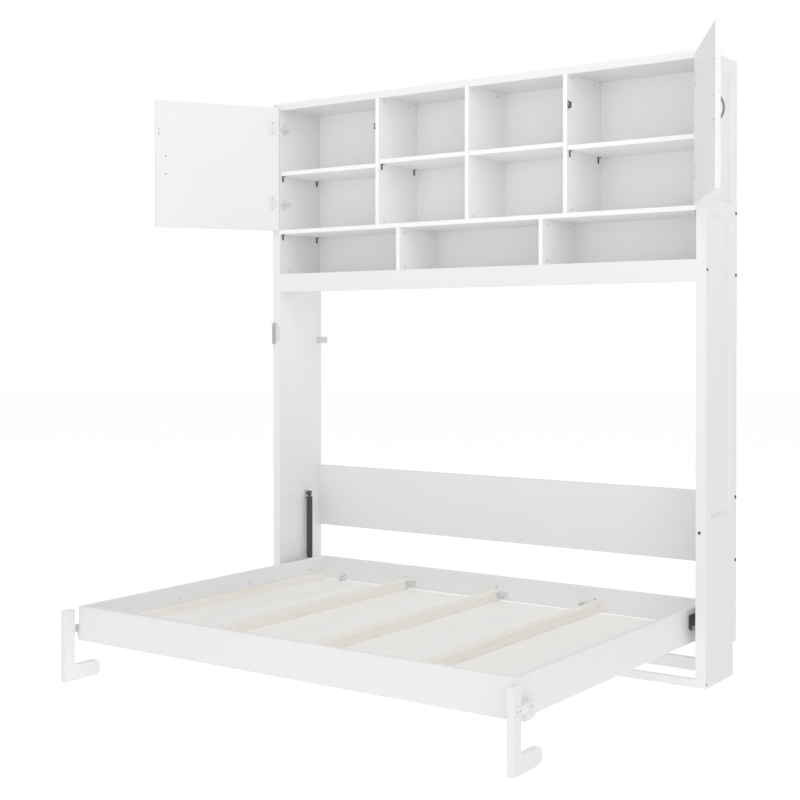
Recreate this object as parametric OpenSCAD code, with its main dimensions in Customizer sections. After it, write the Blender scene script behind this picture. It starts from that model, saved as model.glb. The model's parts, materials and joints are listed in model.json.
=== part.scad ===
// Side-folding wall bed with an overhead cabinet, shown with the bed down and both cabinet doors open.
// Millimetres, +Z up. The origin is on the floor, midway between the posts, in the plane of the posts'
// front faces. +X runs to the right and +Y runs back to the wall.

/* [Cabinet] */
// Overall width over both posts
unit_w = 2120; // [2110:1:2200]
// Overall height
unit_h = 2400; // [2380:1:2500]
// Depth from the posts' front faces to the wall
unit_d = 306; // [300:1:340]
// Thickness of the posts and cabinet sides
side_t = 40; // [36:1:40]
// Thickness of shelves, dividers and top
board_t = 18; // [16:1:20]
// Thickness of the back panels
back_t = 10; // [6:1:12]
// Height of the top face of the main shelf
main_shelf_z = 1818; // [1815:1:1830]
// Height of the valance's lower edge
valance_z = 1533; // [1531:1:1540]
// Height of the valance
valance_h = 83; // [80:1:90]
// Distance from the middle to the outer upper dividers
divider_x = 464; // [440:1:480]
// Distance from the middle to the lower dividers
lower_divider_x = 353; // [330:1:380]
// Height of the undersides of the two outer shelves
outer_shelf_z = 2069; // [1980:1:2180]
// Height of the undersides of the two inner shelves
inner_shelf_z = 2084; // [1980:1:2180]

/* [Doors] */
// Width of a door
door_w = 570; // [566:1:574]
// Thickness of a door
door_t = 18; // [16:1:18]
// Opening angle of the left door as drawn
left_door_angle = 123; // [0:1:123]
// Opening angle of the right door as drawn
right_door_angle = 120; // [0:1:123]

/* [Bed] */
// Distance from the cabinet's outer face to the bed's outer face
bed_inset = 84; // [84:1:86]
// Thickness of the bed's rails
rail_t = 22; // [20:1:22]
// Height of the underside of the face boards
face_z = 154; // [152:1:156]
// Thickness of the face boards
face_t = 30; // [28:1:30]
// Height of the top of the rails
rail_top_z = 286; // [270:1:290]
// Position of the bed's front face
bed_front_y = -1253; // [-1255:1:-1240]
// Position of the bed's rear face
bed_rear_y = 265; // [255:1:266]
// Height of the bed's pivot axis
pivot_z = 214; // [213:1:215]

/* [Legs] */
// Thickness of a leg
leg_t = 23; // [20:1:24]
// Height of a leg
leg_h = 275; // [260:1:280]
// Position of a leg's front edge
leg_front_y = -1318.5; // [-1320:0.5:-1315]
// Width of a leg's upright
leg_w = 52.5; // [50:0.5:53]
// Height of a leg's foot
foot_h = 60; // [56:1:62]
// Length of a leg's foot, to its round tip
foot_l = 181; // [170:1:185]

/* [Hardware] */
// Radius of the bed's pivot pins
bed_pin_r = 8; // [6:0.5:9]
// Radius of the leg pins and gas spring studs
small_pin_r = 5; // [4:0.5:5]
// Radial running clearance of every pin in its hole
run_gap = 0.05; // [0.02:0.01:0.09]
// Radius of the gas spring's tube
tube_r = 14; // [11:0.5:14]
// Radius of the gas spring's rod
rod_r = 5; // [4:0.5:6]
// Length of the lock lever below its pivot
lever_l = 91; // [85:1:100]

/* [Hidden] */
$fn = 48;
left = -1;
right = 1;
white = "whitesmoke";
pine = "burlywood";
steel = "silver";
black = "#202022";
gap = 1;                                   // working gap between parts of different bodies

// cabinet
out_x = unit_w / 2;                        // outer face of a post
in_x = out_x - side_t;                     // inner face of a post
back_y = unit_d - back_t;                  // front of the back panels
crown_h = 30;
crown_t = 22;
crown_z = unit_h - crown_h;                // underside of the crown rail
roof_z = unit_h - board_t;                 // underside of the top panel
bottom_shelf_z = valance_z + valance_h;    // top face of the bottom shelf
stile_w = 55;                              // width of the plain border round a recess
recess = 8;                                // depth of the recess in a side's outer face
lower_recess_z = 634;
notch_y = 30;                              // notch over the skirting board
notch_z = 127;
rail_y = 20;                               // thickness of the base front rail and the valance
base_front_h = 32;
base_rear_h = 50;
base_rear_t = 22;
back_board_z = 430;
back_board_h = 283;
back_board_t = 18;
shelf_front_y = 4;
pin_y1 = 22;                               // front and rear positions of the shelf pins
pin_y2 = 272;
cap_ys = [40, 232];                        // front and rear positions of the cover caps
post_cap_ys = [72, 212];                   // the same, on the posts
shelf_zs = [outer_shelf_z, inner_shelf_z, inner_shelf_z, outer_shelf_z];
uppers = [-divider_x, 0, divider_x];
bay_l = concat([-in_x], [for (x = uppers) x + board_t / 2]);
bay_r = concat([for (x = uppers) x - board_t / 2], [in_x]);

// doors: the hinge axis lies inside the door's thickness, so the door clears the post as it swings
door_gap = 2.5;                            // gap between a closed door and the cabinet
door_lap = 10.5;                           // how far a closed door covers the post
door_z = main_shelf_z - 1;
door_h = crown_z + 10 - door_z;
hinge_edge = 5.5;                          // axis to the door's hinge edge
hinge_in = 9;                              // axis to the door's inner face
hinge_x = in_x + door_lap - hinge_edge;
hinge_y = -door_gap - hinge_in;
door_stile = 60;
door_panel_t = 12;
hinge_zs = [door_z + 124, door_z + 468];
handle_z = door_z + 276;
handle_cc = 80;                            // distance between a handle's feet
handle_out = 21;                           // how far a handle stands out
handle_r = 4;
handle_edge = 45;                          // handle to the door's free edge
arch_rise = handle_out - handle_r;         // rise of a handle's arched centre line
arch_r = (pow(handle_cc / 2, 2) + pow(arch_rise, 2)) / (2 * arch_rise);
catch_z = 2232;
catch_h = 36;
catch_y = 17;

// wall brackets
bracket_z = 1312;
bracket_h = 30;
bracket_leg = 38;
bracket_hole_r = 2.75;
bracket_hole_x = in_x - 22;

// bed
bed_x = out_x - bed_inset;                 // outer face of the bed's side rails
rail_z = face_z + face_t;                  // underside of the rails
tray_x = bed_x - rail_t;
pivot_y = pivot_z - face_z;                // brings the closed face boards level with the posts
face_rear_y = pivot_y + 172;               // short of the rear rail, so the bed turns clear of the base
joist_w = 40;
joist_h = 40;
joist_xs = [-tray_x / 2, 0, tray_x / 2];
cleat_w = 22;
cleat_h = 28;
plate_t = 5;
plate_y1 = 40;
plate_y2 = 212;
plate_z1 = 212;
plate_z2 = 262;
lug_r = 12;                                // lug round the bed's pivot hole

// legs
leg_x = bed_x + 1.5;                       // inner face of a leg
leg_pin_y = -1209;
leg_pin_z = 195;
block_y = 58;
block_z1 = 152;
block_z2 = 208;
strap_t = 3;

// gas springs: vertical with the bed down, 13 degrees off vertical with it up
spring_x = (bed_x + in_x) / 2;
spring_y = 190;
spring_top_z = 588;
spring_low_z = 228;
tube_top = 15;                             // pivot to the top of the tube
tube_len = 290;
eye_r = 11;
eye_w = 16;
stud_l = spring_x - eye_w / 2 - 2 - bed_x - plate_t;   // the stud stops 2 mm short of the rod's eye

// lock lever on the left post
lever_x = -out_x + 9;
lever_z = 1382;
lever_w = 18;
lever_t = 10;
lever_y = -2;                              // back face of the lever

// A box between two corners
module span(a, b) translate(a) cube(b - a);

// A board between the posts, from y1 to y2 and z1 to z2
module cross_board(y1, y2, z1, z2, x = in_x) color(white) span([-x, y1, z1], [x, y2, z2]);

// Draws a right-hand piece, or its mirror image on the left
module on_side(s) {
    if (s < 0) mirror([1, 0, 0]) children();
    else children();
}

// A cylinder along X that starts at x
module rod_x(x, y, z, r, h) translate([x, y, z]) rotate([0, 90, 0]) cylinder(r = r, h = h);

// A cylinder along Y that starts at y and runs to the front
module rod_y(x, y, z, r, h) translate([x, y, z]) rotate([90, 0, 0]) cylinder(r = r, h = h);

// ---- cabinet ----

// A side's outer recess, inside its plain border
module side_recess(z1, z2) span([out_x - recess, stile_w, z1], [out_x + 1, unit_d - stile_w, z2]);

module side_lower(s) on_side(s) color(white) difference() {
    span([in_x, 0, 0], [out_x, unit_d, main_shelf_z]);
    side_recess(lower_recess_z, main_shelf_z - 30);
    span([in_x - 1, unit_d - notch_y, -1], [out_x + 1, unit_d + 1, notch_z]);
}

module side_upper(s) on_side(s) color(white) difference() {
    span([in_x, 0, main_shelf_z], [out_x, unit_d, unit_h]);
    side_recess(main_shelf_z + 22, unit_h - 62);
}

module top_panel() cross_board(crown_t, unit_d, roof_z, unit_h);
module crown_rail() cross_board(0, crown_t, crown_z, unit_h);
module main_shelf() cross_board(0, back_y, main_shelf_z - board_t, main_shelf_z);
module upper_back_panel() cross_board(back_y, unit_d, main_shelf_z, roof_z);
module lower_back_panel() cross_board(back_y, unit_d, valance_z + valance_h - board_t, main_shelf_z);
module bottom_shelf() cross_board(rail_y, back_y, bottom_shelf_z - board_t, bottom_shelf_z);
module valance() cross_board(0, rail_y, valance_z, bottom_shelf_z);
module base_front_rail() cross_board(0, rail_y, 0, base_front_h);

module base_rear_rail()
    cross_board(unit_d - notch_y - base_rear_t, unit_d - notch_y, 0, base_rear_h);

module back_board()
    cross_board(unit_d - back_board_t, unit_d, back_board_z, back_board_z + back_board_h);

// An upright board of the cabinet, centred on x
module divider(x, z1, z2)
    color(white) span([x - board_t / 2, 0, z1], [x + board_t / 2, back_y, z2]);

// An upper divider is notched at its top front corner for the crown rail
module upper_divider(i) difference() {
    divider(uppers[i], main_shelf_z, roof_z);
    span([uppers[i] - board_t, -1, crown_z], [uppers[i] + board_t, crown_t, roof_z + 1]);
}

module lower_divider(x) divider(x, bottom_shelf_z, main_shelf_z - board_t);

module shelf(i) color(white)
    span([bay_l[i] + gap, shelf_front_y, shelf_zs[i]],
         [bay_r[i] - gap, back_y - 2, shelf_zs[i] + board_t]);

// ---- cabinet hardware ----

// An L-shaped shelf pin on a face at x: dir is the side of the face that it stands on
module shelf_pin(x, y, z, dir) {
    span([min(x, x + dir * 3), y - 5, z - 27], [max(x, x + dir * 3), y + 5, z]);
    span([min(x + dir * 3, x + dir * 13), y - 5, z - 4], [max(x + dir * 3, x + dir * 13), y + 5, z]);
}

module shelf_pins() color(black) {
    for (i = [0, 1, 3], y = [pin_y1, pin_y2]) {
        shelf_pin(bay_l[i], y, shelf_zs[i], 1);
        shelf_pin(bay_r[i], y, shelf_zs[i], -1);
    }
    for (y = [pin_y1, pin_y2]) {
        shelf_pin(-in_x, y, main_shelf_z - board_t, 1);
        shelf_pin(in_x, y, main_shelf_z - board_t, -1);
    }
}

// A shallow cover cap on a face at x
module cap(x, y, z, dir) rod_x(dir > 0 ? x : x - 1.5, y, z, 7, 1.5);

module cam_caps() color("gainsboro") {
    for (x = uppers, y = cap_ys, z = [main_shelf_z + 16, roof_z - 20], d = [left, right])
        cap(x + d * board_t / 2, y, z, d);
    for (s = [left, right], y = post_cap_ys)
        for (z = [bottom_shelf_z + 16, main_shelf_z - board_t - 11, roof_z - 18]) cap(s * in_x, y, z, -s);
    for (x = [-lower_divider_x, lower_divider_x], y = cap_ys, d = [left, right])
        for (z = [bottom_shelf_z + 16, main_shelf_z - board_t - 20]) cap(x + d * board_t / 2, y, z, d);
    for (s = [left, right], z = [501, 593]) cap(s * in_x, post_cap_ys[0], z, -s);
}

module connector_bolts() color(black) {
    for (s = [left, right]) on_side(s) {
        for (z = [449, 696, valance_z + 32, main_shelf_z - 12]) rod_x(out_x, unit_d - 10, z, 7, 2.5);
        rod_x(out_x, 10, valance_z + 42, 6, 2.5);
        rod_x(out_x, 10, 16, 3.5, 2);
    }
    rod_y(in_x + 15, 0, 586, 6, 2.5);
}

// Magnetic catches on the outer dividers, just behind the closed doors
module door_catches() color(black)
    for (s = [left, right]) on_side(s) translate([divider_x + board_t / 2, 1, catch_z])
        cube([12, catch_y - 1, catch_h]);

module hinge_plates() color(steel)
    for (s = [left, right], z = hinge_zs) on_side(s) {
        span([in_x - 4, 6, z - 25], [in_x, 62, z + 25]);
        span([in_x - 14, 10, z - 8], [in_x - 4, 70, z + 8]);
    }

module wall_bracket() difference() {
    union() {
        span([in_x - 3, unit_d - bracket_leg, bracket_z - bracket_h / 2],
             [in_x, unit_d - 3, bracket_z + bracket_h / 2]);
        span([in_x - bracket_leg, unit_d - 3, bracket_z - bracket_h / 2],
             [in_x, unit_d, bracket_z + bracket_h / 2]);
    }
    for (z = [-8, 8]) rod_y(bracket_hole_x, unit_d + 1, bracket_z + z, bracket_hole_r, 6);
}

module wall_brackets() color(steel) for (s = [left, right]) on_side(s) wall_bracket();

// Plates on the posts that carry the bed's pivot pins
module post_pivots() color(black)
    for (s = [left, right]) on_side(s) {
        span([in_x - 4, pivot_y - 25, pivot_z - 25], [in_x, pivot_y + 25, pivot_z + 50]);
        rod_x(bed_x + 1, pivot_y, pivot_z, bed_pin_r, in_x - bed_x - 3);
    }

module spring_post_mounts() color(steel)
    for (s = [left, right]) on_side(s) {
        span([in_x - 4, spring_y - 16, spring_top_z - 24], [in_x, spring_y + 16, spring_top_z + 16]);
        rod_x(spring_x - eye_w / 2 - 2, spring_y, spring_top_z, small_pin_r, in_x - spring_x + 8);
    }

// Shoulder screw that the lock lever turns on
module lever_pivot() color(steel) {
    rod_y(lever_x, 0, lever_z, 4, lever_t - lever_y + 1);
    rod_y(lever_x, lever_y - lever_t - 0.5, lever_z, 7, 3);
}

// ---- doors ----

// Places a door that is drawn closed, with its hinge axis at the origin and its free edge towards -X
module hang_door(s, angle) on_side(s)
    translate([hinge_x, hinge_y, 0]) rotate([0, 0, angle]) children();

module door_frame(s, angle) hang_door(s, angle) color(white) difference() {
    span([hinge_edge - door_w, hinge_in - door_t, door_z], [hinge_edge, hinge_in, door_z + door_h]);
    span([hinge_edge - door_w + door_stile, hinge_in - door_t - 1, door_z + door_stile],
         [hinge_edge - door_stile, hinge_in + 1, door_z + door_h - door_stile]);
}

module door_panel(s, angle) hang_door(s, angle) color(white)
    span([hinge_edge - door_w + door_stile, hinge_in - door_panel_t, door_z + door_stile],
         [hinge_edge - door_stile, hinge_in, door_z + door_h - door_stile]);

// An arched bow handle along Z. Its two feet stand on y = 0 and the arch reaches -handle_out
module bow_handle() {
    difference() {
        translate([0, arch_r - arch_rise, 0]) rotate([0, 90, 0])
            rotate_extrude() translate([arch_r, 0]) circle(handle_r);
        span([-9, 0, -arch_r - 9], [9, 2 * arch_r, arch_r + 9]);
    }
    for (z = [-1, 1]) rod_y(0, 0, z * handle_cc / 2, handle_r + 1, 3);
}

module door_handle(s, angle) hang_door(s, angle) color(black)
    translate([hinge_edge - door_w + handle_edge, hinge_in - door_t, handle_z]) bow_handle();

// The flanges of the two hinge cups that a door carries
module door_hinges(s, angle) hang_door(s, angle) color(steel)
    for (z = hinge_zs)
        span([hinge_edge - 48, hinge_in, z - 29], [hinge_edge - 16, hinge_in + 2, z + 29]);

// ---- bed ----

module bed_side_rail(s) on_side(s) color(white)
    span([tray_x, bed_front_y + rail_t, rail_z], [bed_x, bed_rear_y - rail_t, rail_top_z]);

module bed_front_rail() cross_board(bed_front_y, bed_front_y + rail_t, rail_z, rail_top_z, bed_x);
module bed_rear_rail() cross_board(bed_rear_y - rail_t, bed_rear_y, rail_z, rail_top_z, bed_x);

// Four boards side by side, which are the bed's outer face when it is closed
module face_boards() color(white)
    for (i = [0:3]) let (x = -bed_x + i * bed_x / 2)
        span([x, bed_front_y, face_z], [x + bed_x / 2 - (i < 3 ? 0.5 : 0), face_rear_y, rail_z]);

module joists() color(pine) for (x = joist_xs)
    span([x - joist_w / 2, bed_front_y + rail_t, rail_z],
         [x + joist_w / 2, bed_rear_y - rail_t, rail_z + joist_h]);

module side_cleats() color(pine) for (s = [left, right]) on_side(s)
    span([tray_x - cleat_w, bed_front_y + rail_t, rail_z], [tray_x, bed_rear_y - rail_t, rail_z + cleat_h]);

// An angle bracket in the corner between a face at x and a rail's inner face at y
module corner_bracket(x, y, dir) {
    z = rail_z + 8;
    leg = 38;
    span([x, min(y, y + dir * leg), z], [x + 3, max(y, y + dir * leg), z + 30]);
    span([x + 3, min(y, y + dir * 3), z], [x + leg, max(y, y + dir * 3), z + 30]);
}

// An angle bracket that stands on the face boards against the rear rail
module foot_bracket(x) {
    y = bed_rear_y - rail_t;
    span([x - 19, y - 38, rail_z], [x + 19, y, rail_z + 3]);
    span([x - 19, y - 3, rail_z + 3], [x + 19, y, rail_z + 33]);
}

module joist_brackets() color(steel) {
    for (x = joist_xs) corner_bracket(x + joist_w / 2, bed_front_y + rail_t, 1);
    for (i = [0, 1]) corner_bracket(joist_xs[i] + joist_w / 2, bed_rear_y - rail_t, -1);
    mirror([1, 0, 0]) corner_bracket(joist_w / 2 - joist_xs[2], bed_rear_y - rail_t, -1);
    for (s = [left, right]) foot_bracket(s * 838);
}

// Each plate turns on a post's pin and carries the lower stud of a gas spring
module bed_pivot_plates() color(black)
    for (s = [left, right]) on_side(s) {
        difference() {
            union() {
                span([bed_x, plate_y1, plate_z1], [bed_x + plate_t, plate_y2, plate_z2]);
                rod_x(bed_x, pivot_y, pivot_z, lug_r, plate_t);
            }
            rod_x(bed_x - 1, pivot_y, pivot_z, bed_pin_r + run_gap, plate_t + 2);
        }
        rod_x(bed_x + plate_t, spring_y, spring_low_z, small_pin_r, stud_l);
    }

// Blocks on the side rails with the pins that the legs hang on
module leg_blocks() color(steel)
    for (s = [left, right]) on_side(s) {
        span([bed_x, leg_pin_y - block_y / 2, block_z1],
             [leg_x + leg_t - gap, leg_pin_y + block_y / 2, block_z2]);
        rod_x(leg_x + leg_t - gap, leg_pin_y, leg_pin_z, small_pin_r, strap_t + 4);
    }

module bed_pull_handle() color(black)
    translate([-797, -1145, face_z]) rotate([90, 0, 0]) bow_handle();

// ---- legs ----

module leg(s) on_side(s) color(white) translate([leg_x, 0, 0]) rotate([90, 0, 90])
    linear_extrude(leg_t) union() {
        translate([leg_front_y, 0]) square([leg_w, leg_h]);
        translate([leg_front_y, 0]) square([foot_l - foot_h / 2, foot_h]);
        translate([leg_front_y + foot_l - foot_h / 2, foot_h / 2]) circle(foot_h / 2);
    }

module leg_strap(s) on_side(s) color(steel) difference() {
    span([leg_x + leg_t, leg_front_y + 15, leg_pin_z - 15],
         [leg_x + leg_t + strap_t, leg_pin_y + 15, leg_pin_z + 15]);
    rod_x(leg_x + leg_t - 1, leg_pin_y, leg_pin_z, small_pin_r + run_gap, strap_t + 2);
}

// ---- gas springs ----

module spring_tube(s) on_side(s) color(black) {
    difference() {
        union() {
            rod_x(spring_x - eye_w / 2, spring_y, spring_top_z, eye_r, eye_w);
            translate([spring_x, spring_y, spring_top_z - tube_top - 8]) cylinder(r = 6, h = 17);
        }
        rod_x(spring_x - eye_w, spring_y, spring_top_z, small_pin_r + run_gap, 2 * eye_w);
    }
    translate([spring_x, spring_y, spring_top_z - tube_top - tube_len])
        difference() {
            cylinder(r = tube_r, h = tube_len);
            translate([0, 0, -1]) cylinder(r = rod_r + run_gap, h = tube_len - 11);
        }
}

module spring_rod(s) on_side(s) color(steel) {
    translate([spring_x, spring_y, spring_low_z + eye_r - 3])
        cylinder(r = rod_r, h = spring_top_z - spring_low_z - tube_top - eye_r - 22);
    difference() {
        rod_x(spring_x - eye_w / 2, spring_y, spring_low_z, eye_r, eye_w);
        rod_x(spring_x - eye_w, spring_y, spring_low_z, small_pin_r + run_gap, 2 * eye_w);
    }
}

// ---- bed lock ----

module lock_lever() color(steel) difference() {
    union() {
        rod_y(lever_x, lever_y, lever_z, lever_w / 2, lever_t);
        span([lever_x - lever_w / 2, lever_y - lever_t, lever_z - lever_l],
             [lever_x + lever_w / 2, lever_y, lever_z]);
    }
    rod_y(lever_x, 1, lever_z, 4 + run_gap, lever_t + 5);
}

side_lower(left);  // left_side_lower
side_lower(right);  // right_side_lower
side_upper(left);  // left_side_upper
side_upper(right);  // right_side_upper
top_panel();
crown_rail();
main_shelf();
upper_back_panel();
lower_back_panel();
upper_divider(0);  // upper_divider_1
upper_divider(1);  // upper_divider_2
upper_divider(2);  // upper_divider_3
shelf(0);  // shelf_1
shelf(1);  // shelf_2
shelf(2);  // shelf_3
shelf(3);  // shelf_4
lower_divider(-lower_divider_x);  // lower_divider_1
lower_divider(lower_divider_x);  // lower_divider_2
bottom_shelf();
valance();
back_board();
base_front_rail();
base_rear_rail();
shelf_pins();
cam_caps();
connector_bolts();
door_catches();
hinge_plates();
wall_brackets();
post_pivots();
spring_post_mounts();
lever_pivot();
door_frame(left, left_door_angle);  // left_door_frame
door_panel(left, left_door_angle);  // left_door_panel
door_handle(left, left_door_angle);  // left_door_handle
door_hinges(left, left_door_angle);  // left_door_hinges
door_frame(right, right_door_angle);  // right_door_frame
door_panel(right, right_door_angle);  // right_door_panel
door_handle(right, right_door_angle);  // right_door_handle
door_hinges(right, right_door_angle);  // right_door_hinges
bed_side_rail(left);  // bed_left_rail
bed_side_rail(right);  // bed_right_rail
bed_front_rail();
bed_rear_rail();
face_boards();
joists();
side_cleats();
joist_brackets();
bed_pivot_plates();
leg_blocks();
bed_pull_handle();
leg(left);  // left_leg
leg(right);  // right_leg
leg_strap(left);  // left_leg_strap
leg_strap(right);  // right_leg_strap
spring_tube(left);  // left_spring_tube
spring_rod(left);  // left_spring_rod
spring_tube(right);  // right_spring_tube
spring_rod(right);  // right_spring_rod
lock_lever();
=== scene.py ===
import json
import math

import bmesh
import bpy
from mathutils import Matrix, Vector


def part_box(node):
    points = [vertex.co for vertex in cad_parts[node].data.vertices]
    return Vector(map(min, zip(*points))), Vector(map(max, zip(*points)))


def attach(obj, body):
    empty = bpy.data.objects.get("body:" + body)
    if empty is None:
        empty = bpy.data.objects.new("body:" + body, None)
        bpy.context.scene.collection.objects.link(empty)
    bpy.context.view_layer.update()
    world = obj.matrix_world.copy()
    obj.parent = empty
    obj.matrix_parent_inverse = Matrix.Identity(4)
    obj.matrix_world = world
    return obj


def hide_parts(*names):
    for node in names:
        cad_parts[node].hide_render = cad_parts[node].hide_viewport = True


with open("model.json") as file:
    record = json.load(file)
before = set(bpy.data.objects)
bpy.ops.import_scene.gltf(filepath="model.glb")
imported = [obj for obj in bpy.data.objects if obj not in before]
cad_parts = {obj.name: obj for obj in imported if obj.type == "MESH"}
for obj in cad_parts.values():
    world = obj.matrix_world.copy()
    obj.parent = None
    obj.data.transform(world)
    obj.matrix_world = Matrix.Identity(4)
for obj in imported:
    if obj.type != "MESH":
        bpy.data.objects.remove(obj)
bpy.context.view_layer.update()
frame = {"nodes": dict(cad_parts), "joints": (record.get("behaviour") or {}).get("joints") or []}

# Looks for a side-folding wall bed. Sizes in this script are millimetres, in the CAD frame.
MM = 0.001
SIDES = (("left", -1), ("right", 1))
MIRROR = Matrix.Diagonal((-1, 1, 1, 1))
X, Y, Z = Vector((1, 0, 0)), Vector((0, 1, 0)), Vector((0, 0, 1))


def node_box(node):
    """Lowest and highest corner of a CAD node, in millimetres."""
    low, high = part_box(node)
    return low / MM, high / MM


def solids(node):
    """Lowest and highest corner of each separate solid in a CAD node, in millimetres."""
    mesh = frame["nodes"][node].data
    ids = {}
    point_id = [ids.setdefault(tuple(round(c * 1e5) for c in v.co), len(ids)) for v in mesh.vertices]
    root = list(range(len(ids)))

    def find(i):
        while root[i] != i:
            root[i] = root[root[i]]
            i = root[i]
        return i

    for face in mesh.polygons:
        first = find(point_id[face.vertices[0]])
        for v in face.vertices[1:]:
            root[find(point_id[v])] = first
    groups = {}
    for key, i in ids.items():
        groups.setdefault(find(i), []).append(Vector(key) * 0.01)
    boxes = [(Vector(map(min, *g)), Vector(map(max, *g))) for g in groups.values()]
    return sorted(boxes, key=lambda b: tuple(b[0]))


# ---------------------------------------------------------------- camera, light and floor

WORLD_LIGHT = 0.49        # brightness of the sky
KEY_LIGHT = 96            # power of each lamp, in watts
FRONT_LIGHT = 26
TOP_LIGHT = 54
SIDE_LIGHT = 18
REAR_LIGHT = 40
FLOOR_REFLECT = 0.5
FLOOR_GLOW = 0.74         # the floor's own light, which keeps it pale out to the horizon
VIEW_GAMMA = 1.25         # lifts the shaded bays


def make_camera():
    data = bpy.data.cameras.new("camera")
    data.sensor_width = 36
    data.lens = 61.197
    data.shift_y = -0.0579
    data.clip_end = 60
    camera = bpy.data.objects.new("camera", data)
    camera.location = (3.0551, -4.8181, 1.3100)
    camera.rotation_euler = (math.radians(89.4384), 0, math.radians(35.1755))
    bpy.context.scene.collection.objects.link(camera)
    bpy.context.scene.camera = camera


def area_light(name, location, target, size, power):
    data = bpy.data.lights.new(name, "AREA")
    data.shape = "DISK"
    data.size = size
    data.energy = power
    light = bpy.data.objects.new(name, data)
    light.location = location
    aim = Vector(target) - Vector(location)
    light.rotation_euler = aim.to_track_quat("-Z", "Y").to_euler()
    bpy.context.scene.collection.objects.link(light)


def make_studio():
    world = bpy.data.worlds.new("studio")
    world.use_nodes = True
    back = world.node_tree.nodes["Background"]
    back.inputs["Color"].default_value = (1, 1, 1, 1)
    back.inputs["Strength"].default_value = WORLD_LIGHT
    bpy.context.scene.world = world
    bpy.context.scene.view_settings.view_transform = "Standard"
    bpy.context.scene.view_settings.gamma = VIEW_GAMMA
    area_light("key", (5.0, -4.0, 3.6), (0, 0, 1.3), 5.0, KEY_LIGHT)
    area_light("front", (-0.6, -6.0, 2.2), (0, 0, 1.7), 4.0, FRONT_LIGHT)
    area_light("top", (0.6, -2.2, 5.4), (0, -0.6, 0.2), 3.0, TOP_LIGHT)
    area_light("side", (-5.0, -1.5, 2.4), (0, -0.3, 1.0), 4.0, SIDE_LIGHT)
    area_light("rear", (1.5, 5.5, 3.2), (0, 0, 1.2), 4.0, REAR_LIGHT)
    bpy.ops.mesh.primitive_grid_add(x_subdivisions=8, y_subdivisions=8, size=60)
    make_stage("floor", bpy.context.object, FLOOR_REFLECT, FLOOR_GLOW)
    bpy.ops.mesh.primitive_uv_sphere_add(segments=48, ring_count=24, radius=30)
    make_stage("backdrop", bpy.context.object, 0.0, 1.0)


def make_stage(name, obj, reflect, glow):
    """A plain white surface that only the camera sees, but for the floor, which also lights the object."""
    obj.name = name
    paper = bpy.data.materials.new(name + "_paper")
    paper.use_nodes = True
    shader = paper.node_tree.nodes["Principled BSDF"]
    shader.inputs["Base Color"].default_value = (reflect, reflect, reflect, 1)
    shader.inputs["Roughness"].default_value = 1.0
    shader.inputs["Specular IOR Level"].default_value = 0.0
    shader.inputs["Emission Color"].default_value = (1, 1, 1, 1)
    shader.inputs["Emission Strength"].default_value = glow
    obj.data.materials.append(paper)
    obj.visible_diffuse = name == "floor"
    obj.visible_glossy = False
    obj.visible_shadow = False


# ---------------------------------------------------------------- materials


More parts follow.
